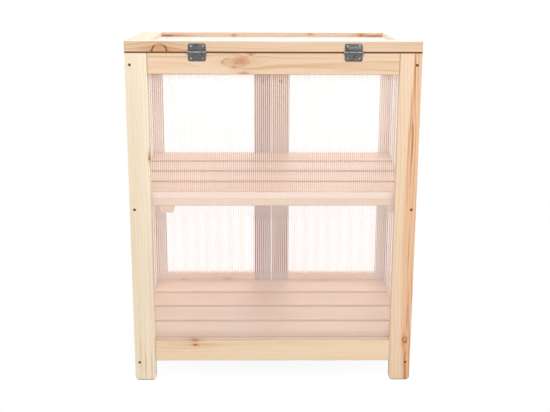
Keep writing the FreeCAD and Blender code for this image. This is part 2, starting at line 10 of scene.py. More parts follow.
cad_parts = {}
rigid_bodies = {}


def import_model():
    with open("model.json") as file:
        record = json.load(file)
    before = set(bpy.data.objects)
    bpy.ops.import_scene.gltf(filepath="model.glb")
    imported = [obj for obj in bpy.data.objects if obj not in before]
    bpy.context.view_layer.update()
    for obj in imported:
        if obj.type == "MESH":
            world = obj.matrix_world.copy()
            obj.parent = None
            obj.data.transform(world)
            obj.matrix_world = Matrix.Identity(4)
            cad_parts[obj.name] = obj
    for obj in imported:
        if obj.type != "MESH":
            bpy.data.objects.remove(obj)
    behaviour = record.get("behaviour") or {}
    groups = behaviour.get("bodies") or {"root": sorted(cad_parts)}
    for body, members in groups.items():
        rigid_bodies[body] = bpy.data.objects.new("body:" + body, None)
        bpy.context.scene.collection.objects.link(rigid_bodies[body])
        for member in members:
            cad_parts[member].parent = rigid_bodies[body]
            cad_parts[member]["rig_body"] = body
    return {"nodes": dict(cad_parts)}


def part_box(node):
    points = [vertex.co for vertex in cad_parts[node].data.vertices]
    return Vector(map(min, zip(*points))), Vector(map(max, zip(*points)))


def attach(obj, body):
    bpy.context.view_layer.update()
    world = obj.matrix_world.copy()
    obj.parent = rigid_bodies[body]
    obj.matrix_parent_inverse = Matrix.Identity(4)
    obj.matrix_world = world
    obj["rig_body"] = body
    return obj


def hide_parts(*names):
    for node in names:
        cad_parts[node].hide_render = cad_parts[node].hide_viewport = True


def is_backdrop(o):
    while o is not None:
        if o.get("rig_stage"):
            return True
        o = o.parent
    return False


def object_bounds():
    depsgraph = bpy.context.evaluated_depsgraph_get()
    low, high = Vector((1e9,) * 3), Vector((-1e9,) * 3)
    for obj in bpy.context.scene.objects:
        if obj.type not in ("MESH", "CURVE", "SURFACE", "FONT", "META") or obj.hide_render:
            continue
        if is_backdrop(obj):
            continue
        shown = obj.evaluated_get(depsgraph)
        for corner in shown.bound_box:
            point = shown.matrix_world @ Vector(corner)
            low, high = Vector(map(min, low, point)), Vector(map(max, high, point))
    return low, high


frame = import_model()
cad_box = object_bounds()

MM = 0.001
SAME_PLACE = 0.001*MM
LID_SLOPE = math.radians(5)
X, Y, Z = Vector((1, 0, 0)), Vector((0, 1, 0)), Vector((0, 0, 1))
DOWN_LID = Vector((0, math.cos(LID_SLOPE), -math.sin(LID_SLOPE)))
OUT_OF_LID = Vector((0, math.sin(LID_SLOPE), math.cos(LID_SLOPE)))
BACK_OF_LID = -DOWN_LID


def paint(red, green, blue):
    """A colour from its 0 to 255 values, as the shaders want it."""
    def linear(value):
        value /= 255
        return value/12.92 if value < 0.04045 else ((value + 0.055)/1.055)**2.4
    return linear(red), linear(green), linear(blue), 1


def tones(pale, deep):
    """The pale and the deep tone that a board's colour wanders between."""
    return paint(*pale), paint(*deep)


class Net:
    """Short ways to add nodes to one node tree."""

    def __init__(self, tree):
        self.tree = tree

    def add(self, kind, **settings):
        node = self.tree.nodes.new(kind)
        for name, value in settings.items():
            setattr(node, name, value)
        return node

    def feed(self, socket, value):
        if isinstance(value, bpy.types.NodeSocket):
            self.tree.links.new(value, socket)
        else:
            socket.default_value = value

    def math(self, operation, *values, clamp=False):
        node = self.add("ShaderNodeMath", operation=operation, use_clamp=clamp)
        for socket, value in zip(node.inputs, values):
            self.feed(socket, value)
        return node.outputs[0]

    def vector(self, operation, *values):
        node = self.add("ShaderNodeVectorMath", operation=operation)
        for socket, value in zip(node.inputs, values):
            self.feed(socket, value)
        return node.outputs["Value" if operation in ("LENGTH", "DOT_PRODUCT") else "Vector"]

    def split(self, value):
        node = self.add("ShaderNodeSeparateXYZ")
        self.feed(node.inputs[0], value)
        return node.outputs

    def joined(self, *values):
        node = self.add("ShaderNodeCombineXYZ")
        for socket, value in zip(node.inputs, values):
            self.feed(socket, value)
        return node.outputs[0]

    def mix(self, share, one, other, kind="MIX"):
        node = self.add("ShaderNodeMix", data_type="RGBA", blend_type=kind)
        for number, value in ((0, share), (6, one), (7, other)):
            self.feed(node.inputs[number], value)
        return node.outputs[2]

    def tinted(self, share, colour, tint):
        return self.mix(share, colour, self.mix(1.0, colour, tint, "MULTIPLY"))

    def mixed_shaders(self, share, one, other):
        node = self.add("ShaderNodeMixShader")
        for socket, value in zip(node.inputs, (share, one, other)):
            self.feed(socket, value)
        return node.outputs[0]

    def noise(self, place, stretch=(1, 1, 1), detail=2.0, roughness=0.5):
        node = self.add("ShaderNodeTexNoise")
        self.feed(node.inputs["Vector"], self.vector("MULTIPLY", place, stretch))
        self.feed(node.inputs["Scale"], 1)
        self.feed(node.inputs["Detail"], detail)
        self.feed(node.inputs["Roughness"], roughness)
        return node.outputs

    def smooth(self, value, start, end, low=0.0, high=1.0):
        """Goes softly from low to high while the value goes from start to end."""
        node = self.add("ShaderNodeMapRange", interpolation_type="SMOOTHSTEP")
        for number, given in enumerate((value, start, end, low, high)):
            self.feed(node.inputs[number], given)
        return node.outputs[0]

    def ramp(self, value, *stops):
        """The level at a value, between stops of a value and its level."""
        node = self.add("ShaderNodeValToRGB")
        points = node.color_ramp.elements
        while len(points) < len(stops):
            points.new(0.5)
        for point, (spot, level) in zip(points, stops):
            point.position = spot
            point.color = (level, level, level, 1)
        self.feed(node.inputs[0], value)
        return node.outputs[0]


def new_group(name, inputs, outputs):
    """A node group with named sockets, and the sockets inside it."""
    tree = bpy.data.node_groups.new(name, "ShaderNodeTree")
    for way, sockets in (("INPUT", inputs), ("OUTPUT", outputs)):
        for socket, kind in sockets.items():
            tree.interface.new_socket(socket, in_out=way, socket_type="NodeSocket" + kind)
    net = Net(tree)
    return net, net.add("NodeGroupInput").outputs, net.add("NodeGroupOutput").inputs


# A knot's own numbers: how ragged it is, how many rings it has, how it bends the grain round it, and
# how fast that and its halo fade. Small knots are less ragged.
KNOT_RAGGED = 0.65
KNOT_RINGS = 17.0
KNOT_PULL = -0.85
KNOT_PULL_FADE = -0.28
KNOT_HALO_FADE = -0.5
SMALL_KNOT = 7*MM


def knot_group():
    """One knot in a board: it pushes the grain aside and marks its core, rings, rim and halo."""
    net, given, made = new_group(
        "Knot",
        {"Place": "Vector", "Grain": "Vector", "Core": "Float", "Rim": "Float", "Rings": "Float",
         "Halo": "Float", "Along": "Float", "Across": "Float", "Size": "Float", "Stretch": "Float",
         "Dark": "Float", "Ringed": "Float"},
        {"Grain": "Vector", "Core": "Float", "Rim": "Float", "Rings": "Float", "Halo": "Float"})
    wobble = net.noise(given["Place"], (90, 150, 60), 3)["Color"]
    wobble = net.vector("SUBTRACT", wobble, (0.5, 0.5, 0.5))
    small = net.math("MINIMUM", net.math("DIVIDE", SMALL_KNOT, given["Size"]), 1.0)
    wobble = net.split(net.vector("MULTIPLY", wobble, net.joined(small, small, 1.0)))
    along, across, _ = net.split(given["Place"])
    tall = net.math("MULTIPLY", given["Size"], given["Stretch"])
    far_along = net.math("DIVIDE", net.math("SUBTRACT", along, given["Along"]), tall)
    far_across = net.math("DIVIDE", net.math("SUBTRACT", across, given["Across"]), given["Size"])
    away = net.vector("LENGTH", net.joined(
        net.math("MULTIPLY_ADD", wobble[0], KNOT_RAGGED, far_along),
        net.math("MULTIPLY_ADD", wobble[1], KNOT_RAGGED, far_across), 0.0))
    calm = net.vector("LENGTH", net.joined(net.math("MULTIPLY", far_along, 0.5), far_across, 0.0))
    push = net.math("EXPONENT", net.math("MULTIPLY", net.math("POWER", calm, 2.0), KNOT_PULL_FADE))
    line, lean, deep = net.split(given["Grain"])
    pull = net.math("MULTIPLY", net.math("SUBTRACT", lean, given["Across"]), push)
    lean = net.math("MULTIPLY_ADD", pull, KNOT_PULL, lean)
    net.feed(made["Grain"], net.joined(line, lean, deep))

    def strongest(name, value):
        """Keeps this knot's mark where it is stronger than those of the knots before it."""
        value = net.math("MULTIPLY", value, given["Dark"])
        net.feed(made[name], net.math("MAXIMUM", given[name], value))

    core = net.smooth(away, 1.1, 0.45)
    strongest("Core", net.math("MULTIPLY", core, net.math("SUBTRACT", 1.0, given["Ringed"])))
    patchy = net.smooth(wobble[2], -0.12, 0.1, 0.25, 1)
    rim = net.math("MULTIPLY", net.smooth(away, 1.22, 1.0), net.smooth(away, 0.76, 0.97))
    rim = net.math("MULTIPLY", rim, patchy)
    strongest("Rim", net.math("MULTIPLY", rim, net.math("MULTIPLY_ADD", given["Ringed"], 0.7, 0.3)))
    rings = net.math("SINE", net.math("MULTIPLY", away, KNOT_RINGS))
    rings = net.math("MULTIPLY_ADD", rings, 0.5, 0.5)
    pith = net.smooth(away, 0.34, 0.12)
    ring_room = net.math("MULTIPLY", core, net.math("MULTIPLY_ADD", given["Ringed"], -0.9, 1.0))
    strongest("Rings", net.math("MULTIPLY", net.math("MAXIMUM", rings, pith), ring_room))
    halo = net.math("MULTIPLY", net.math("POWER", calm, 2.0), KNOT_HALO_FADE)
    strongest("Halo", net.math("EXPONENT", halo))
    return net.tree


# How dark a year's ring is from its early wood to its late wood.
YEAR_RING = ((0, 0), (0.45, 0.04), (0.72, 0.35), (0.88, 1), (0.94, 0.6), (1, 0))
# Colours that are laid over a board's own tone, and tints that multiply it.
HEARTWOOD = paint(235, 187, 145)
HEARTWOOD_LATE = paint(196, 134, 94)
LATE_TINT = paint(228, 194, 160)
BLUSH_TINT = paint(250, 228, 216)
FIBRE_TINT = paint(208, 174, 140)
DUCT_TINT = paint(204, 168, 132)
KNOT_HALO_TINT = paint(232, 200, 170)
KNOT_CORE = paint(208, 152, 112)
KNOT_CORE_DARK = paint(112, 72, 44)
KNOT_RING = paint(142, 88, 56)
KNOT_RIM = paint(122, 76, 50)
WORN_EDGE_TINT = (1.1, 1.09, 1.07, 1)
NEAR_END_TINT = paint(214, 190, 162)
CUT_END = paint(190, 148, 108)
# Painted light that pales a board's lit side.
LIT_SIDE_COLOUR = paint(243, 232, 217)
# Painted shade, with some grime, in joints and gaps.
SHADE_AND_GRIME = paint(102, 58, 10)
# How far the heart line of a log wanders, widely and finely.
HEART_WANDER, HEART_WAVER = (0, 50*MM, 30*MM), (0, 4*MM, 2*MM)


def pine_group():
    """Planed pine cut out of a log: year rings round a wandering heart line, fibres, tone, edges."""
    net, given, made = new_group(
        "Pine",
        {"Place": "Vector", "Grain": "Vector", "Core": "Float", "Rim": "Float", "Rings": "Float",
         "Halo": "Float", "Half": "Vector", "Seed": "Vector", "Heart": "Vector", "Ring": "Float",
         "Contrast": "Float", "Pale": "Color", "Deep": "Color", "Band": "Vector", "Bow": "Float",
         "ShadeAndGrime": "Vector", "ShadeAndGrimeStrength": "Float", "LitSide": "Float"},
        {"Color": "Color", "Roughness": "Float", "Height": "Float"})

    along, across, through = net.split(given["Place"])
    line = net.vector("ADD", given["Grain"], given["Seed"])
    wander = net.vector("SUBTRACT", net.noise(line, (1.7, 5, 5), 1.5)["Color"], (0.5, 0.5, 0.5))
    waver = net.vector("SUBTRACT", net.noise(line, (11, 30, 30), 2.0)["Color"], (0.5, 0.5, 0.5))
    wander = net.vector("ADD", net.vector("MULTIPLY", wander, HEART_WANDER),
                        net.vector("MULTIPLY", waver, HEART_WAVER))
    from_heart = net.vector("SUBTRACT", net.vector("ADD", given["Grain"], wander), given["Heart"])
    radius = net.vector("LENGTH", net.vector("MULTIPLY", from_heart, (0, 1, 1)))
    year = net.math("FRACT", net.math("DIVIDE", radius, given["Ring"]))
    late = net.ramp(year, *YEAR_RING)
    strength = net.smooth(net.noise(line, (2.2, 40, 40), 2)["Fac"], 0.32, 0.7, 0.15, 1.3)

    band_middle, band_half, band_force = net.split(given["Band"])
    bow = net.math("MULTIPLY", net.math("MULTIPLY", along, along), given["Bow"])
    band_middle = net.math("ADD", band_middle, bow)
    edge_noise = net.math("SUBTRACT", net.noise(line, (3, 12, 12), 3)["Fac"], 0.5)
    band_off = net.math("ABSOLUTE", net.math(
        "MULTIPLY_ADD", edge_noise, 8*MM, net.math("SUBTRACT", across, band_middle)))
    band = net.smooth(net.math("SUBTRACT", band_off, band_half), 2.5*MM, -1.5*MM)
    band = net.math("MULTIPLY", band_force, band)

    late = net.math("MULTIPLY", net.math("MULTIPLY", late, strength),
                    net.math("MULTIPLY_ADD", band, 0.9, given["Contrast"]), clamp=True)
    tone = net.smooth(net.noise(line, (1.3, 13, 13), 2.5)["Fac"], 0.32, 0.7)
    colour = net.mix(tone, given["Pale"], given["Deep"])
    colour = net.mix(net.math("MULTIPLY", band, 0.8), colour, HEARTWOOD)
    late_colour = net.mix(band, net.mix(1.0, colour, LATE_TINT, "MULTIPLY"), HEARTWOOD_LATE)
    colour = net.mix(late, colour, late_colour)
    blush = net.smooth(net.noise(line, (2.4, 22, 22), 3)["Fac"], 0.56, 0.78, 0, 0.35)
    colour = net.tinted(blush, colour, BLUSH_TINT)
    fibre = net.noise(line, (16, 900, 900), 3, 0.65)["Fac"]
    colour = net.tinted(net.smooth(fibre, 0.42, 0.75, 0, 0.16), colour, FIBRE_TINT)
    duct = net.smooth(net.noise(line, (55, 1500, 1500), 1)["Fac"], 0.7, 0.78)
    colour = net.tinted(net.math("MULTIPLY", duct, 0.35), colour, DUCT_TINT)

    colour = net.tinted(net.math("MULTIPLY", given["Halo"], 0.6), colour, KNOT_HALO_TINT)
    colour = net.mix(net.math("MULTIPLY", given["Core"], 0.85), colour, KNOT_CORE)
    colour = net.mix(net.smooth(given["Core"], 1.3, 2.4, 0, 0.85), colour, KNOT_CORE_DARK)
    colour = net.mix(net.math("MULTIPLY", given["Rings"], 0.28), colour, KNOT_RING)
    colour = net.mix(given["Rim"], colour, KNOT_RIM)

    half_along, half_across, half_through = net.split(given["Half"])
    to_end = net.math("SUBTRACT", half_along, net.math("ABSOLUTE", along))
    to_side = net.math("SUBTRACT", half_across, net.math("ABSOLUTE", across))
    to_face = net.math("SUBTRACT", half_through, net.math("ABSOLUTE", through))
    scuff = net.math("MULTIPLY", net.noise(line, (60, 60, 60), 3)["Fac"], 3*MM)
    to_edge = net.math("ADD", net.math("MAXIMUM", to_side, to_face), scuff)
    wear_and_highlight = net.smooth(to_edge, 3.6*MM, 1*MM, 0, 0.4)
    colour = net.tinted(wear_and_highlight, colour, WORN_EDGE_TINT)
    cut_end = net.smooth(to_end, 0.6*MM, 0.1*MM)
    near_end = net.smooth(net.math("ADD", to_end, scuff), 6*MM, 0.0, 0, 0.25)
    colour = net.tinted(near_end, colour, NEAR_END_TINT)
    end_colour = net.mix(net.math("MULTIPLY_ADD", late, 0.6, 0.4), colour, CUT_END)
    colour = net.mix(net.math("MULTIPLY", cut_end, 0.5), colour, end_colour)
    # Painted light: the lit side is paler.
    colour = net.mix(given["LitSide"], colour, LIT_SIDE_COLOUR)

    # Painted shade, with some grime, reaches in from the joints: from the ends, the high side and the
    # low side of the face
    shade_and_grime = 0.0
    to_high = net.math("SUBTRACT", half_across, across)
    to_low = net.math("ADD", half_across, across)
    for reach, gap in zip(net.split(given["ShadeAndGrime"]), (to_end, to_high, to_low)):
        deep_in = net.math("SUBTRACT", reach, gap)
        share = net.math("DIVIDE", deep_in, net.math("MULTIPLY", reach, 0.6), clamp=True)
        shade_and_grime = net.math("MAXIMUM", shade_and_grime, share)
    colour = net.mix(net.math("MULTIPLY", shade_and_grime, given["ShadeAndGrimeStrength"]), colour, SHADE_AND_GRIME)

    net.feed(made["Color"], colour)
    rough = net.math("MULTIPLY_ADD", fibre, 0.22, 0.42)
    rough = net.math("MULTIPLY_ADD", given["Core"], -0.1, rough)
    net.feed(made["Roughness"], net.math("MULTIPLY_ADD", cut_end, 0.2, rough, clamp=True))
    height = net.math("MULTIPLY_ADD", late, 0.5, net.math("MULTIPLY", fibre, 0.9))
    height = net.math("MULTIPLY_ADD", given["Rim"], -0.8, height)
    net.feed(made["Height"], net.math("MULTIPLY_ADD", given["Core"], 0.5, height))
    return net.tree


KNOT_GROUP = knot_group()
PINE_GROUP = pine_group()


def new_material(name):
    """A material with a Principled shader: its net, the shader's sockets and texture coordinates."""
    material = bpy.data.materials.new(name)
    material.use_nodes = True
    net = Net(material.node_tree)
    shader = material.node_tree.nodes["Principled BSDF"].inputs
    return material, net, shader, net.add("ShaderNodeTexCoord").outputs


def bumped(net, shader, height, strength, distance):
    """Gives a surface fine relief."""
    node = net.add("ShaderNodeBump")
    for socket, value in (("Strength", strength), ("Distance", distance), ("Height", height)):
        net.feed(node.inputs[socket], value)
    net.feed(shader["Normal"], node.outputs[0])


def corners_of(node):
    """The places of the vertices of a node's mesh."""
    return [vertex.co for vertex in frame["nodes"][node].data.vertices]


class Lie:
    """How a straight piece lies: its turn to along, across and through, its middle and half sizes."""

    def __init__(self, node, along, across):
        self.turn = Matrix((along, across, along.cross(across))).transposed()
        corners = numpy.array([self.turn.transposed() @ corner for corner in corners_of(node)])
        low, high = corners.min(0), corners.max(0)
        self.half = Vector((high - low)/2)
        self.middle = self.turn @ Vector((high + low)/2)

    def matrix(self):
        return Matrix.Translation(self.middle) @ self.turn.to_4x4()


# How the boards of each kind lie: the direction of their grain, then the one across their face.
ALONG_X_UPRIGHT, ALONG_X_FLAT, ALONG_X_LID = (X, Z), (X, Y), (X, OUT_OF_LID)
ALONG_Z_REAR, ALONG_Z_SIDE = (Z, X), (Z, Y)
ALONG_Y_SIDE, ALONG_Y_SLOPED = (Y, Z), (DOWN_LID, Z)
ALONG_Y_FLAT, ALONG_Y_LID = (Y, X), (DOWN_LID, X)

CREAM = tones((251, 239, 217), (242, 227, 201))
WHEAT = tones((247, 226, 197), (238, 211, 179))
STRAW = tones((243, 218, 189), (233, 200, 167))
STRAW_EVEN = tones((243, 218, 189), (239, 212, 182))
HONEY = tones((240, 211, 178), (231, 194, 157))
PEACH = tones((240, 208, 180), (228, 186, 154))
SLAT = tones((230, 187, 142), (219, 170, 122))
# The next two tones are darker for painted shade on the doors' inner stiles.
ROSE = tones((196, 161, 136), (180, 142, 116))
FAWN = tones((206, 173, 141), (190, 155, 123))
IVORY = tones((237, 219, 202), (226, 204, 184))
BLOND = tones((230, 204, 175), (218, 186, 155))
BLUSH = tones((226, 204, 184), (214, 187, 166))
OAT = tones((239, 214, 185), (229, 198, 166))
CHALK = tones((252, 238, 224), (247, 230, 214))
# A pale tone that is painted light on the lid's side rails.
APRICOT = tones((251, 215, 174), (242, 202, 157))
SHELL = tones((243, 219, 198), (235, 208, 186))
TAN = tones((233, 203, 166), (222, 188, 148))
# Tones that the lot draws from, the common one twice.
TONES = (CREAM, STRAW, HONEY, HONEY, PEACH)


def knot(along, across, size, stretch=1.3, dark=0.8, ringed=0):
    """A knot, placed from the middle of its board and sized in millimetres.

    stretch draws it out along the grain, and a ringed one is only a dark outline.
    """
    return along*MM, across*MM, size*MM, stretch, dark, ringed


def drawn_knots(lot, half):
    """Up to two knots drawn by lot on a board of these half sizes."""
    return [knot(lot.uniform(-0.9, 0.9)*half.x/MM, lot.uniform(-0.8, 0.8)*half.y/MM,
                 lot.uniform(2.0, 6.5), lot.uniform(1.1, 1.9), lot.uniform(0.35, 1))
            for _ in range(lot.choice((0, 1, 1, 2)))]


TENON = 8.5*MM
SHADE_AND_GRIME_DEPTH = 6*MM


def pine(node, lie, tone=None, heart=None, ring=None, contrast=None, band=(0, 0, 0), bow=0,
         knots=None, tenons=False, shade_and_grime=(0, 0, 0), shade_and_grime_strength=0.98, shaded_side=None,
         lit_side_share=0, lit_side=OUT_OF_LID):
    """Gives a board its own pine. What isn't given is drawn by lot, the same each time.

    Sizes are in millimetres. tone is a pale and a deep colour, heart the place of the log's heart
    line across and through the board, and ring the width of a year's ring. band is the middle, the
    half width and the strength of a streak of heartwood, and bow how much it curves, in metres at a
    metre from the board's middle. tenons says that the board's ends are hidden in its neighbours.
    The painted shade of joints and gaps, with some grime, reaches in by the given lengths from the
    ends, the high side and the low side, as dark as its given strength, and stays close to the shaded
    side where one is given. Painted light pales the lit side by its given share.
    """
    lot = random.Random(node)
    drawn_tone = lot.choice(TONES)
    pale, deep = tone or drawn_tone
    lie = Lie(node, *lie)
    material, net, shader, texture = new_material(node + "_pine")
    mapping = net.add("ShaderNodeMapping", vector_type="TEXTURE")
    net.feed(mapping.inputs["Vector"], texture["Object"])
    net.feed(mapping.inputs["Location"], lie.middle)
    net.feed(mapping.inputs["Rotation"], lie.turn.to_euler())
    place = mapping.outputs[0]
    if knots is None:
        knots = drawn_knots(lot, lie.half)
    marks = {"Grain": place, "Core": 0.0, "Rim": 0.0, "Rings": 0.0, "Halo": 0.0}
    for given in knots:
        group = net.add("ShaderNodeGroup", node_tree=KNOT_GROUP)
        facts = dict(zip(("Along", "Across", "Size", "Stretch", "Dark", "Ringed"), given), Place=place)
        for name, value in {**marks, **facts}.items():
            net.feed(group.inputs[name], value)
        marks = {name: group.outputs[name] for name in marks}
    board = net.add("ShaderNodeGroup", node_tree=PINE_GROUP)
    heart = heart or (lot.uniform(-60, 60), lot.choice((-1, 1))*lot.uniform(15, 60))
    # The painted shade keeps close to the face on the shaded side.
    if shaded_side:
        face = max(corner.dot(shaded_side) for corner in corners_of(node))
        outward = net.vector("DOT_PRODUCT", texture["Object"], shaded_side)
        shade_and_grime_strength = net.smooth(outward, face - SHADE_AND_GRIME_DEPTH, face - 0.4*SHADE_AND_GRIME_DEPTH, 0, shade_and_grime_strength)
    # The side that painted light pales.
    facing = net.vector("DOT_PRODUCT", texture["Normal"], lit_side)
    facts = {
        "Place": place, "Half": lie.half - Vector((TENON*tenons, 0, 0)),
        "Seed": [lot.uniform(0, 50) for _ in range(3)], "Heart": (0, heart[0]*MM, heart[1]*MM),
        "Ring": (ring or lot.uniform(2.6, 4.6))*MM, "Contrast": contrast or lot.uniform(0.35, 0.6),
        "Pale": pale, "Deep": deep, "Band": (band[0]*MM, band[1]*MM, band[2]), "Bow": bow,
        "ShadeAndGrime": [reach*MM for reach in shade_and_grime], "ShadeAndGrimeStrength": shade_and_grime_strength,
        "LitSide": net.smooth(facing, 0.75, 0.97, 0, lit_side_share)}
    for name, value in {**marks, **facts}.items():
        net.feed(board.inputs[name], value)
    net.feed(shader["Base Color"], board.outputs["Color"])
    net.feed(shader["Roughness"], board.outputs["Roughness"])
    net.feed(shader["Specular IOR Level"], 0.35)
    bumped(net, shader, board.outputs["Height"], 0.35, 0.25*MM)
    for slot in frame["nodes"][node].material_slots:
        slot.material = material


# Rear frame: painted shade darkens the joint under the lid, and the top rail along its other joints
# too. Long thin knots are streaks in the grain.
LID_JOINT = 2.5
pine("back_left_post", ALONG_Z_REAR, CREAM, heart=(70, 30), ring=5.5, contrast=0.28,
     knots=[knot(140, 22.5, 2.4, 1.6, 2.5), knot(143, 21.5, 1.6, 3, 2.5, 1),
            knot(-322, 1, 1.6, 20, 0.45), knot(-330, 14, 1.8, 22, 0.3), knot(-290, -9, 2.4, 24, 0.2)],
     shade_and_grime=(LID_JOINT, 0, 0), shaded_side=-Y)
pine("back_right_post", ALONG_Z_REAR, STRAW_EVEN, heart=(-70, 24), ring=7, contrast=0.4,
     knots=[knot(-266, 9.5, 5, 1.2, 1.7, 1), knot(-270, 11.5, 2.6, 1.2, 2.2),
            knot(-300, 12, 1.9, 6, 1.2), knot(-341, 13, 2.2, 9, 1.2), knot(-213, 12.5, 1.7, 17, 0.8),
            knot(-60, 10, 1.2, 40, 0.6), knot(70, 3, 1.1, 34, 0.5), knot(203, 3.5, 1.2, 24, 0.8),
            knot(192, 9, 1.2, 19, 0.8), knot(288, 8.5, 1.2, 32, 0.8)],
     band=(16, 19, 0.8), bow=0.084, shade_and_grime=(LID_JOINT, 0, 0), shaded_side=-Y)
pine("back_top_rail", ALONG_X_UPRIGHT, OAT, heart=(-8, 26), ring=6.5, contrast=0.8, tenons=True,
     knots=[knot(-65, 5, 10, 1.5, 0.9), knot(-86, 3, 7.5, 1.7, 0.35), knot(-89, 3, 8, 1.8, 0.5, 1),
            knot(-101, 1.5, 2.4, 3, 0.5), knot(-80, -7, 2.4, 2.4, 1), knot(-46, 18.5, 2.8, 1.6, 1.1),
            knot(-60, -20, 4.2, 2.2, 0.8)],
     shade_and_grime=(0.9, LID_JOINT, 0.7), shaded_side=-Y)
# The bottom rail is darker at its ends and along its top edge.
pine("back_bottom_rail", ALONG_X_UPRIGHT, WHEAT, heart=(20, 24), ring=4.4, contrast=0.45,
     knots=[knot(-168, 14, 2.3, 1.3, 2.4), knot(-168, 14, 1.6, 8, 0.9),
            knot(-169, 25, 2.6, 2.4, 2.1)],
     tenons=True, shade_and_grime=(2, 0.3, 0), shade_and_grime_strength=0.3)

# Side panels
for side in ("left", "right"):
    pine("%s_rear_stile" % side, ALONG_Z_SIDE)
    pine("%s_front_stile" % side, ALONG_Z_SIDE, CHALK)
    pine("%s_top_rail" % side, ALONG_Y_SLOPED, tenons=True)
    pine("%s_bottom_rail" % side, ALONG_Y_SIDE, tenons=True)

# Cross rails
pine("front_top_rail", ALONG_X_UPRIGHT)
pine("front_bottom_rail", ALONG_X_UPRIGHT)

# The slatted floor and shelf: each slat's level is painted light and shade, the floor's lighter
# towards the doors, and painted shade darkens their edges in the gaps
SLAT_EDGES = {"floor": 3, "shelf": 4.5}
# Floor slat 1 gets painted shade far in from its low side, by the bottom rail, and at its ends.
SLAT_LOW_EDGES = {"shelf_slat_1": 0, "floor_slat_1": 30}
SLAT_ENDS = {"floor_slat_1": 14}
SLAT_SHADE_STRENGTH = {"floor": 0.3, "shelf": 0.62}
SLAT_SHADES = {"floor": (0.885, 0.9, 1, 1.2), "shelf": (0.95, 0.905, 0.92, 1)}
# Painted light pales shelf slat 1's face towards the back pane.
SLAT_LIT_SIDE = {"shelf_slat_1": 0.65}
SLAT_KNOTS = {
    # The long streak along shelf slat 1's edge by the back pane is painted shade.
    "shelf_slat_1": [knot(0, -35, 3.6, 120, 1.5)],
    "floor_slat_1": [knot(-12, -3, 1.8, 6, 0.45), knot(211, 4, 2.5, 1.8, 0.6)],
    "floor_slat_3": [knot(110, 12, 2.5, 2.5, 0.5)],
    "shelf_slat_2": [knot(-81, 8, 2.6, 2.4, 0.8)],
    "shelf_slat_3": [knot(25, 2, 4.5, 1.8, 0.45)],
}
for tier in ("floor", "shelf"):
    for number, shade in enumerate(SLAT_SHADES[tier], 1):
        slat = "%s_slat_%d" % (tier, number)
        tone = [tuple(shade*level for level in colour[:3]) + (1,) for colour in SLAT]
        edge = SLAT_EDGES[tier]
        pine(slat, ALONG_X_FLAT, tone, knots=SLAT_KNOTS.get(slat, []), contrast=0.4,
             shade_and_grime=(SLAT_ENDS.get(slat, 0), edge, SLAT_LOW_EDGES.get(slat, edge)),
             shade_and_grime_strength=SLAT_SHADE_STRENGTH[tier], lit_side_share=SLAT_LIT_SIDE.get(slat, 0), lit_side=-Y)
pine("slat_cleats", ALONG_Y_FLAT, knots=[])
# Painted shade along the foot of its face towards the back pane.
pine("shelf_rear_rail", ALONG_X_UPRIGHT, TAN, knots=[], contrast=0.3,
     shade_and_grime=(0, 0, 1.2), shaded_side=-Y)
pine("shelf_battens", ALONG_Y_FLAT, HONEY, knots=[])

# Lid: painted light pales the top faces, and the side rails' inner faces too
# The back rail's lower edge gets painted shade at the joint under it.
pine("lid_back_rail", ALONG_X_LID, BLOND, heart=(-16, 24), ring=6.5, contrast=0.75,
     knots=[knot(-230, -8, 12.5, 1.2, 1.3, 1), knot(-245, -8, 2, 1.6, 1.2),
            knot(-212, -8, 2.5, 2.2, 0.8)],
     lit_side_share=0.8, shade_and_grime=(0, 0, 1.4), shaded_side=BACK_OF_LID)
pine("lid_front_rail", ALONG_X_LID, BLUSH, lit_side_share=0.8,
     knots=[knot(-240, 3.6, 1.7, 10, 2.6), knot(-88, 4.2, 2.2, 1.3, 1.8), knot(88, 7, 2.4, 1.6, 1.4),
            knot(206, 5, 3.2, 1.6, 2), knot(234, 3.6, 1.5, 12, 2.2)])
pine("lid_left_rail", ALONG_Y_LID, SHELL, tenons=True, lit_side_share=0.25, lit_side=OUT_OF_LID + X)
pine("lid_right_rail", ALONG_Y_LID, SHELL, tenons=True, lit_side_share=0.7, lit_side=OUT_OF_LID - X)

# Doors: the inner stiles' darker tones are painted shade for their shaded inner faces, and painted
# light pales all the stiles' outer faces. The inner stiles meet in the middle and look darker than the
# outer ones
for side, tone, knots in (("left", ROSE, None), ("right", FAWN, [knot(51, -19, 3.5, 1.4, 0.5)])):
    pine("%s_door_outer_stile" % side, ALONG_Z_REAR, IVORY, lit_side_share=0.2, lit_side=Y)
    pine("%s_door_inner_stile" % side, ALONG_Z_REAR, tone, knots=knots, lit_side_share=0.6, lit_side=Y)
    pine("%s_door_top_rail" % side, ALONG_X_UPRIGHT, tenons=True)
    pine("%s_door_bottom_rail" % side, ALONG_X_UPRIGHT, APRICOT, tenons=True)


def select_alone(piece):
    """Selects a piece, and nothing else with it."""
    bpy.ops.object.select_all(action="DESELECT")
    bpy.context.view_layer.objects.active = piece
    piece.select_set(True)


def primitive(name, add, **sizes):
    """A primitive at the origin, selected alone."""
    bpy.ops.object.select_all(action="DESELECT")
    add(**sizes)
    piece = bpy.context.object
    piece.name = piece.data.name = name
    return piece


def choose(piece, kind, wanted):
    """In edit mode, selects the vertices, edges or faces that wanted says yes to."""
    bpy.ops.mesh.select_mode(type=kind)
    bpy.ops.mesh.select_all(action="DESELECT")
    mesh = bmesh.from_edit_mesh(piece.data)
    for part in {"VERT": mesh.verts, "EDGE": mesh.edges, "FACE": mesh.faces}[kind]:
        part.select_set(wanted(part))
    bmesh.update_edit_mesh(piece.data)


def editing(piece):
    """Starts the shaping of a piece. done ends it."""
    select_alone(piece)
    bpy.ops.object.mode_set(mode="EDIT")


def done():
    bpy.ops.object.mode_set(mode="OBJECT")


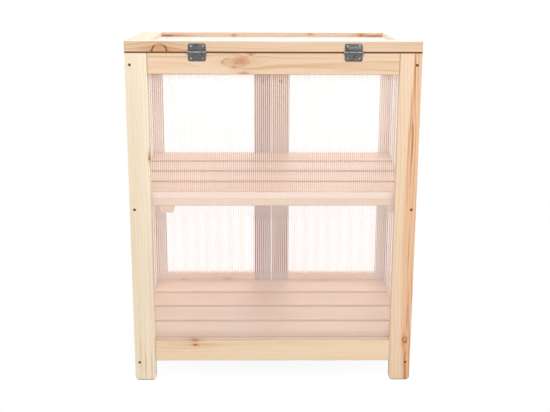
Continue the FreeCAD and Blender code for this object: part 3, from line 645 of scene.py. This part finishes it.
def copied(name, mesh):
    """A new piece in the scene with a mesh of its own."""
    piece = bpy.data.objects.new(name, mesh.copy())
    bpy.context.scene.collection.objects.link(piece)
    return piece


def modified(piece, kind, **settings):
    """Adds a modifier and applies it."""
    bpy.context.view_layer.objects.active = piece
    modifier = piece.modifiers.new(kind.title(), kind)
    for name, value in settings.items():
        setattr(modifier, name, value)
    bpy.ops.object.modifier_apply(modifier=modifier.name)


def moved(piece, matrix):
    """Sets a piece's place into its mesh."""
    select_alone(piece)
    piece.matrix_world = matrix
    bpy.ops.object.transform_apply(location=True, rotation=True, scale=True)


def finished(piece, node, material):
    """Dresses a piece that stands for a node and rides on its body."""
    piece.data.materials.clear()
    piece.data.materials.append(material)
    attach(piece, frame["nodes"][node]["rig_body"])
    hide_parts(node)


FLUTE_PITCH = 4.1*MM
FLUTE_GROOVE = 0.35*MM
FLUTE_JOIN = 0.02*MM
CLEAR_RIB = 0.85*MM
HAZY_FROM = 1.15*MM
CLEAR_HAZE, FLUTE_HAZE, HAZE_CLOUDS = 0.02, 0.345, 0.012
# Emission on the sheets is painted light, standing in for the light that their walls scatter; more on
# the side sheets.
SHEET_GLOW = 0.2
SIDE_GLOW = 0.35
SHEET_IOR = 1.58
# How much the back pane's flutes show: less in front of the lit floor and shelf. Each pair is a
# height, as a share of SHOW_HEIGHT, and a strength.
SHOW_HEIGHT = 0.75
BACK_SHOWS = ((0.32, 0.2), (0.337, 0.95), (0.48, 0.95), (0.51, 0.2),
              (0.56, 0.2), (0.58, 0.45), (0.66, 0.45), (0.69, 0.7))


def sheet_material(name, lie, glance, glow, shows):
    """Clear twin-wall sheet: each flute is hazy but for a clear line at its ribs.

    glance is how closed the sheet looks along its face, glow an emission, painted light that stands in
    for the light its walls scatter, and shows, where given, pairs as in BACK_SHOWS.
    """
    material, net, shader, texture = new_material(name)
    mapping = net.add("ShaderNodeMapping", vector_type="TEXTURE")
    net.feed(mapping.inputs["Vector"], texture["Object"])
    net.feed(mapping.inputs["Location"], lie.middle - lie.turn @ Vector((0, lie.half.y, 0)))
    net.feed(mapping.inputs["Rotation"], lie.turn.to_euler())
    place = mapping.outputs[0]
    pitch = 2*lie.half.y/round(2*lie.half.y/FLUTE_PITCH)
    share = net.math("FRACT", net.math("DIVIDE", net.split(place)[1], pitch))
    nearest = net.math("MINIMUM", share, net.math("SUBTRACT", 1.0, share))
    hazy = net.smooth(net.math("MULTIPLY", nearest, pitch), CLEAR_RIB, HAZY_FROM)
    uneven = net.smooth(net.noise(place, (1.5, 30, 1), 2)["Fac"], 0.3, 0.7, 1.2, 1.6)
    if shows:
        height = net.math("DIVIDE", net.split(texture["Object"])[2], SHOW_HEIGHT)
        uneven = net.math("MULTIPLY", uneven, net.ramp(height, *shows))
    hazy = net.math("MULTIPLY_ADD", net.math("SUBTRACT", hazy, 0.5), uneven, 0.5)
    cloud = net.smooth(net.noise(place, (9, 9, 9), 3)["Fac"], 0.3, 0.8, -HAZE_CLOUDS, HAZE_CLOUDS)
    haze = net.math("ADD", net.math("MULTIPLY_ADD", hazy, FLUTE_HAZE, CLEAR_HAZE), cloud)
    facing = net.add("ShaderNodeLayerWeight")
    net.feed(facing.inputs["Blend"], 0.5)
    glancing = net.smooth(facing.outputs["Facing"], 0.6, 0.95, 0, glance)
    net.feed(shader["Alpha"], net.math("MAXIMUM", haze, glancing))
    net.feed(shader["Base Color"], net.mix(hazy, paint(252, 245, 245), paint(254, 248, 248)))
    # Painted light: the haze glows.
    net.feed(shader["Emission Color"], (1, 0.96, 0.975, 1))
    net.feed(shader["Emission Strength"], glow)
    net.feed(shader["Roughness"], net.math("MULTIPLY_ADD", hazy, 0.2, 0.12))
    net.feed(shader["IOR"], SHEET_IOR)
    return material


def fluted_sheet(node, along, across, glance=0.5, glow=SHEET_GLOW, shows=None):
    """A pane of fluted sheet: one flute shaped and repeated, a groove over every rib."""
    lie = Lie(node, along, across)
    length, width, thickness = 2*lie.half
    count = round(width/FLUTE_PITCH)
    pitch = width/count
    sheet = primitive(node.replace("pane", "sheet"), bpy.ops.mesh.primitive_cube_add, size=1)
    sheet.scale = (length, pitch, thickness)
    bpy.ops.object.transform_apply(scale=True)
    editing(sheet)
    choose(sheet, "EDGE", lambda edge: abs(edge.verts[0].co.x - edge.verts[1].co.x) > length/2)
    bpy.ops.mesh.bevel(offset=FLUTE_GROOVE, segments=1)
    choose(sheet, "FACE", lambda face: abs(face.normal.y) > 0.99)
    bpy.ops.mesh.delete(type="FACE")
    done()
    modified(sheet, "ARRAY", count=count, relative_offset_displace=(0, 1, 0),
             use_merge_vertices=True, merge_threshold=FLUTE_JOIN)
    editing(sheet)
    choose(sheet, "EDGE", lambda edge: edge.is_boundary)
    bpy.ops.mesh.fill_holes(sides=0)
    bpy.ops.mesh.select_all(action="SELECT")
    bpy.ops.mesh.normals_make_consistent(inside=False)
    done()
    moved(sheet, lie.matrix() @ Matrix.Translation((0, (pitch - width)/2, 0)))
    finished(sheet, node, sheet_material(sheet.name, lie, glance, glow, shows))
    return sheet


def trim_to_slope(sheet, node):
    """Cuts an upright sheet's top off at the slope of the node that it stands for."""
    top = max(corners_of(node), key=lambda corner: corner.z)
    editing(sheet)
    bpy.ops.mesh.select_all(action="SELECT")
    bpy.ops.mesh.bisect(plane_co=top, plane_no=X.cross(DOWN_LID), use_fill=True, clear_outer=True)
    done()


fluted_sheet("back_pane", Z, X, shows=BACK_SHOWS)
for node in ("left_door_pane", "right_door_pane"):
    fluted_sheet(node, Z, X)
for node in ("left_pane", "right_pane"):
    trim_to_slope(fluted_sheet(node, Z, Y, glance=0.3, glow=SIDE_GLOW), node)
fluted_sheet("lid_pane", DOWN_LID, X, glance=0.8)


def metal(name, colour, dull, roughness, metallic=1.0, wear_and_highlight=None):
    """Plated metal with cloudy patches, fine scratches and duller stains.

    The colour given for the highlight is a painted highlight, laid in patches where the metal curves.
    """
    material, net, shader, texture = new_material(name)
    place = texture["Object"]
    cloud = net.noise(place, (260, 260, 260), 4, 0.6)["Fac"]
    scratch = net.noise(place, (300, 2600, 2600), 2)["Fac"]
    stained = net.smooth(cloud, 0.35, 0.7)
    plating = net.mix(stained, colour, dull)
    # Painted highlight: a lighter colour in patches where the metal curves.
    if wear_and_highlight:
        flat = 0.0
        for level in net.split(net.vector("ABSOLUTE", texture["Normal"])):
            flat = net.math("MAXIMUM", flat, level)
        patches = net.smooth(cloud, 0.4, 0.66, 0.05, 0.6)
        highlighted = net.math("MULTIPLY", net.smooth(flat, 0.99, 0.9), patches)
        plating = net.mix(highlighted, plating, wear_and_highlight)
    net.feed(shader["Base Color"], plating)
    net.feed(shader["Metallic"], metallic)
    rough = net.math("MULTIPLY_ADD", cloud, 0.25, roughness)
    net.feed(shader["Roughness"], net.math("MULTIPLY_ADD", scratch, 0.12, rough))
    relief = net.math("ADD", cloud, net.math("MULTIPLY", scratch, 0.5))
    bumped(net, shader, relief, 0.2, 0.06*MM)
    return material


METAL_EDGE = 0.25*MM
CATCH_EDGE = 0.4*MM
FLAT_ANGLE = math.radians(1)
ROUNDED_ANGLE = math.radians(40)
SMOOTH_ANGLE = math.radians(35)
KNOB_SMOOTH_ANGLE = math.radians(50)


def softened(node, width, material):
    """A copy of a node with its sharp edges rounded over."""
    piece = copied(node + "_piece", frame["nodes"][node].data)
    editing(piece)
    bpy.ops.mesh.select_all(action="SELECT")
    bpy.ops.mesh.remove_doubles(threshold=SAME_PLACE)
    bpy.ops.mesh.dissolve_limited(angle_limit=FLAT_ANGLE)
    done()
    modified(piece, "BEVEL", width=width, segments=2, limit_method="ANGLE", angle_limit=ROUNDED_ANGLE)
    finished(piece, node, material)
    select_alone(piece)
    bpy.ops.object.shade_smooth_by_angle(angle=SMOOTH_ANGLE)


# The hinge leaves get a painted highlight where they curve.
zinc = metal("dull_zinc", colour=paint(112, 112, 112), dull=paint(76, 76, 78), roughness=0.22,
             wear_and_highlight=paint(176, 180, 177))
pin_zinc = metal("pin_zinc", colour=paint(92, 88, 84), dull=paint(66, 62, 58), roughness=0.35)
bright = metal("bright_zinc", colour=paint(158, 158, 153), dull=paint(118, 118, 114), roughness=0.28)
dark = metal("dark_oxide", colour=paint(116, 108, 96), dull=paint(82, 75, 66), roughness=0.42)
tarnished = metal("tarnished_zinc", colour=paint(164, 142, 126), dull=paint(132, 112, 98),
                  roughness=0.5, metallic=0.5)
for node in ("hinge_fixed_leaves", "lid_hinge_leaves", "left_door_hinge_leaves",
             "right_door_hinge_leaves"):
    softened(node, METAL_EDGE, zinc)
softened("hinge_pins", METAL_EDGE, pin_zinc)
for side in ("left", "right"):
    softened("%s_door_strike" % side, METAL_EDGE, bright)


def catch_plastic():
    """Moulded brown plastic with a fine leathery texture."""
    material, net, shader, texture = new_material("catch_plastic_finish")
    grain = net.noise(texture["Object"], (1600, 1600, 1600), 3)["Fac"]
    net.feed(shader["Base Color"], net.mix(grain, paint(96, 66, 46), paint(116, 82, 58)))
    net.feed(shader["Roughness"], net.math("MULTIPLY_ADD", grain, 0.25, 0.4))
    bumped(net, shader, grain, 0.25, 0.08*MM)
    return material


softened("door_catch", CATCH_EDGE, catch_plastic())


def connected(mesh):
    """The corners of each solid in a mesh of several."""
    left = set(mesh.verts)
    while left:
        solid, waiting = set(), [left.pop()]
        while waiting:
            vertex = waiting.pop()
            solid.add(vertex)
            near = {edge.other_vert(vertex) for edge in vertex.link_edges} - solid
            waiting.extend(near)
            left -= near
        yield numpy.array([vertex.co for vertex in solid])


def screw_heads(node):
    """The middle of each screw's head top in a node, and the way it faces."""
    mesh = bmesh.new()
    mesh.from_mesh(frame["nodes"][node].data)
    bmesh.ops.remove_doubles(mesh, verts=mesh.verts, dist=SAME_PLACE)
    found = []
    for points in connected(mesh):
        middle = points.mean(0)
        _, _, turns = numpy.linalg.svd(points - middle)
        facing = turns[0]
        reach = (points - middle) @ facing
        wide = numpy.linalg.norm(points - middle - numpy.outer(reach, facing), axis=1)
        if reach[wide.argmax()] < 0:
            facing, reach = -facing, -reach
        top = points[wide > 0.9*wide.max()].mean(0)
        top += facing*(reach.max() - (top - middle) @ facing)
        found.append((Vector(top), Vector(facing)))
    mesh.free()
    return sorted(found, key=lambda spot: tuple(spot[0]))


SLOT_LONG, SLOT_WIDE, SLOT_DEEP = 1.1, 0.22, 0.7


def screw(name, head, rise, sink, shank, length):
    """A cross-head screw, its head's top at the origin and its point down.

    head and shank are radii, rise is the height of the head's rim and sink that of the cone
    under it.
    """
    piece = primitive(name, bpy.ops.mesh.primitive_cylinder_add, vertices=24, radius=head,
                      depth=rise, location=(0, 0, -rise/2))
    bpy.ops.object.transform_apply(location=True)
    editing(piece)
    choose(piece, "FACE", lambda face: face.normal.z > 0.9)
    bpy.ops.mesh.bevel(offset=min(rise*0.75, head*0.4), segments=3, affect="EDGES")
    choose(piece, "FACE", lambda face: face.normal.z < -0.9)
    bpy.ops.mesh.extrude_region_move(TRANSFORM_OT_translate={"value": (0, 0, -sink)})
    bpy.ops.transform.resize(value=(shank/head, shank/head, 1))
    bpy.ops.mesh.extrude_region_move(TRANSFORM_OT_translate={"value": (0, 0, -length)})
    bpy.ops.mesh.extrude_region_move(TRANSFORM_OT_translate={"value": (0, 0, -shank)})
    bpy.ops.transform.resize(value=(0.15, 0.15, 1))
    done()
    slots = []
    for size in ((SLOT_LONG, SLOT_WIDE, SLOT_DEEP), (SLOT_WIDE, SLOT_LONG, SLOT_DEEP)):
        slot = primitive("slot", bpy.ops.mesh.primitive_cube_add, size=1)
        slot.scale = [head*share for share in size]
        bpy.ops.object.transform_apply(scale=True)
        slots.append(slot)
    for slot in slots:
        modified(piece, "BOOLEAN", operation="DIFFERENCE", object=slot, solver="EXACT")
        bpy.data.objects.remove(slot)
    return piece


def screws(node, master, material):
    """Copies of a screw at each place in a node, each head turned its own way, joined as one piece."""
    lot = random.Random(node)
    copies = []
    for head_top, facing in screw_heads(node):
        copy = copied(node + "_piece", master.data)
        upright = facing.to_track_quat("Z", "Y").to_matrix().to_4x4()
        driven = Matrix.Rotation(lot.uniform(0, math.pi), 4, "Z")
        moved(copy, Matrix.Translation(head_top) @ upright @ driven)
        copies.append(copy)
    bpy.ops.object.select_all(action="DESELECT")
    for copy in copies:
        copy.select_set(True)
    bpy.context.view_layer.objects.active = copies[0]
    if len(copies) > 1:
        bpy.ops.object.join()
    bpy.ops.object.shade_smooth_by_angle(angle=SMOOTH_ANGLE)
    finished(copies[0], node, material)
    copies[0].name = node + "_piece"


hinge_screw = screw("hinge_screw", head=2.9*MM, rise=1.3*MM, sink=0.2*MM, shank=1.5*MM, length=9.0*MM)
post_screw = screw("post_screw", head=2.8*MM, rise=0.2*MM, sink=1.8*MM, shank=2.0*MM, length=35*MM)
knob_screw = screw("knob_screw", head=4.2*MM, rise=2.0*MM, sink=0.2*MM, shank=2.0*MM, length=27*MM)
for node in ("hinge_fixed_screws", "lid_hinge_screws", "left_door_hinge_screws",
             "right_door_hinge_screws"):
    screws(node, hinge_screw, bright)
screws("back_frame_screws", post_screw, dark)
for side in ("left", "right"):
    screws("%s_door_knob_screw" % side, knob_screw, tarnished)
for master in (hinge_screw, post_screw, knob_screw):
    bpy.data.objects.remove(master)


def knob_wood(node):
    """Turned beech: fine straight grain with short flecks."""
    material, net, shader, texture = new_material(node + "_beech")
    place = texture["Object"]
    flow = net.noise(place, (30, 30, 4), 2)["Fac"]
    grain = net.noise(place, (900, 900, 60), 3)["Fac"]
    fleck = net.smooth(net.noise(place, (1300, 1300, 260), 1)["Fac"], 0.64, 0.72)
    colour = net.mix(flow, paint(228, 186, 142), paint(206, 160, 116))
    colour = net.mix(net.smooth(grain, 0.4, 0.8, 0, 0.4), colour, paint(176, 128, 88))
    colour = net.mix(net.math("MULTIPLY", fleck, 0.6), colour, paint(150, 102, 68))
    net.feed(shader["Base Color"], colour)
    net.feed(shader["Roughness"], net.math("MULTIPLY_ADD", grain, 0.2, 0.3))
    bumped(net, shader, grain, 0.15, 0.1*MM)
    return material


# The knob's outline from its foot to its crown, in shares of its widest radius and its length.
KNOB_OUTLINE = ((0.68, 0), (0.7, 0.03), (0.69, 0.08), (0.58, 0.15), (0.5, 0.23), (0.47, 0.32),
                (0.52, 0.41), (0.7, 0.49), (0.88, 0.57), (0.98, 0.65), (1, 0.71), (0.98, 0.78),
                (0.92, 0.85), (0.8, 0.91), (0.6, 0.96), (0.35, 0.99), (0.12, 1))


def knob(node):
    """A turned knob, drawn up from a round foot ring by ring."""
    low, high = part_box(node)
    radius, length = (high.x - low.x)/2, high.y - low.y
    wide, _ = KNOB_OUTLINE[0]
    piece = primitive(node + "_piece", bpy.ops.mesh.primitive_circle_add, vertices=48,
                      radius=radius*wide, fill_type="NGON")
    editing(piece)
    bpy.ops.mesh.select_all(action="SELECT")
    height = 0
    for share, rise in KNOB_OUTLINE[1:]:
        step = (0, 0, (rise - height)*length)
        bpy.ops.mesh.extrude_region_move(TRANSFORM_OT_translate={"value": step})
        bpy.ops.transform.resize(value=(share/wide, share/wide, 1))
        wide, height = share, rise
    bpy.ops.mesh.select_all(action="SELECT")
    bpy.ops.mesh.normals_make_consistent(inside=False)
    done()
    middle = (low + high)/2
    foot = Matrix.Translation((middle.x, low.y, middle.z))
    moved(piece, foot @ Matrix.Rotation(-math.pi/2, 4, "X"))
    bpy.ops.object.shade_smooth_by_angle(angle=KNOB_SMOOTH_ANGLE)
    finished(piece, node, knob_wood(node))


for side in ("left", "right"):
    knob("%s_door_knob" % side)


def seen_rays(net):
    """Whether a ray comes from the camera, a reflection or a see-through surface."""
    rays = net.add("ShaderNodeLightPath").outputs
    return net.math("MAXIMUM", rays["Is Camera Ray"],
                    net.math("MAXIMUM", rays["Is Glossy Ray"], rays["Is Transmission Ray"]))


# Stage: a pale floor that looks white to the camera and keeps a soft shadow near the object
FLOOR_RADIUS = 40
FLOOR_LIT, FLOOR_SEEN = paint(181, 177, 172), paint(246, 246, 246)
SHADOW_MIDDLE = Vector((0, 0.4, 0))
SHADOW_NEAR, SHADOW_FAR = 0.2, 0.7
SHADOW_WHITENESS = 0.72
floor = primitive("floor", bpy.ops.mesh.primitive_circle_add, vertices=64, radius=FLOOR_RADIUS,
                  fill_type="NGON")
floor_material, net, shader, texture = new_material("pale_floor")
seen = seen_rays(net)
net.feed(shader["Base Color"], net.mix(seen, FLOOR_LIT, FLOOR_SEEN))
net.feed(shader["Roughness"], 0.9)
net.feed(shader["Specular IOR Level"], 0.1)
white = net.add("ShaderNodeEmission")
from_shadow = net.vector("LENGTH", net.vector("SUBTRACT", texture["Object"], SHADOW_MIDDLE))
whiteness = net.smooth(from_shadow, SHADOW_NEAR, SHADOW_FAR, SHADOW_WHITENESS, 1)
nodes = floor_material.node_tree.nodes
surface = net.mixed_shaders(net.math("MULTIPLY", seen, whiteness),
                            nodes["Principled BSDF"].outputs[0], white.outputs[0])
net.feed(nodes["Material Output"].inputs["Surface"], surface)
floor.data.materials.append(floor_material)
floor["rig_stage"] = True

WORLD_LIGHT = 0.635
world = bpy.data.worlds.new("studio")
bpy.context.scene.world = world
world.use_nodes = True
net = Net(world.node_tree)
sky = world.node_tree.nodes["Background"]
net.feed(sky.inputs["Color"], (1, 1, 1, 1))
net.feed(sky.inputs["Strength"], net.math("MAXIMUM", seen_rays(net), WORLD_LIGHT))


LIT_MIDDLE = Vector((0, 0, 0.4))


def softbox(name, turn, height, distance, size, level):
    """A square lamp: turn degrees to the right of the camera's side, height degrees up.

    level is the share of plain light that it gives a surface facing it at the object's middle.
    """
    turn, height = math.radians(turn), math.radians(height)
    way = Vector((math.sin(turn)*math.cos(height), -math.cos(turn)*math.cos(height),
                  math.sin(height)))
    lamp = bpy.data.lights.new(name, "AREA")
    lamp.size = size
    lamp.energy = level*(math.pi*distance)**2
    lamp_object = bpy.data.objects.new(name, lamp)
    bpy.context.scene.collection.objects.link(lamp_object)
    lamp_object.location = LIT_MIDDLE + way*distance
    lamp_object.rotation_euler = way.to_track_quat("Z", "Y").to_euler()


softbox("key", turn=-10, height=48, distance=3, size=1.2, level=0.36)
softbox("front_fill", turn=25, height=20, distance=4, size=1.6, level=0.21)
softbox("left_fill", turn=-95, height=15, distance=4, size=1.6, level=0.25)
softbox("right_fill", turn=95, height=15, distance=4, size=1.6, level=0.25)
softbox("back_fill", turn=170, height=35, distance=4, size=1.6, level=0.35)

# Camera at the photograph's place and angle
PHOTO_WIDTH = 550
FOCAL_PIXELS = 1103.7
SENSOR_WIDTH = 36
CAMERA_PLACE = Vector((-0.02405, -2.41395, 1.06502))
CAMERA_PITCH, CAMERA_YAW, CAMERA_ROLL = 0.29282, 0.01265, 0.00376
camera_data = bpy.data.cameras.new("camera")
camera_data.sensor_width = SENSOR_WIDTH
camera_data.lens = SENSOR_WIDTH*FOCAL_PIXELS/PHOTO_WIDTH
camera_data.clip_end = 100
camera = bpy.data.objects.new("camera", camera_data)
bpy.context.scene.collection.objects.link(camera)
camera.matrix_world = (
    Matrix.Translation(CAMERA_PLACE) @ Matrix.Rotation(-CAMERA_YAW, 4, "Z")
    @ Matrix.Rotation(math.pi/2 - CAMERA_PITCH, 4, "X") @ Matrix.Rotation(CAMERA_ROLL, 4, "Z"))
bpy.context.scene.camera = camera
bpy.context.scene.view_settings.view_transform = "Standard"

boxes = {name: [list(corner) for corner in box]
         for name, box in (("cad", cad_box), ("visual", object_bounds()))}
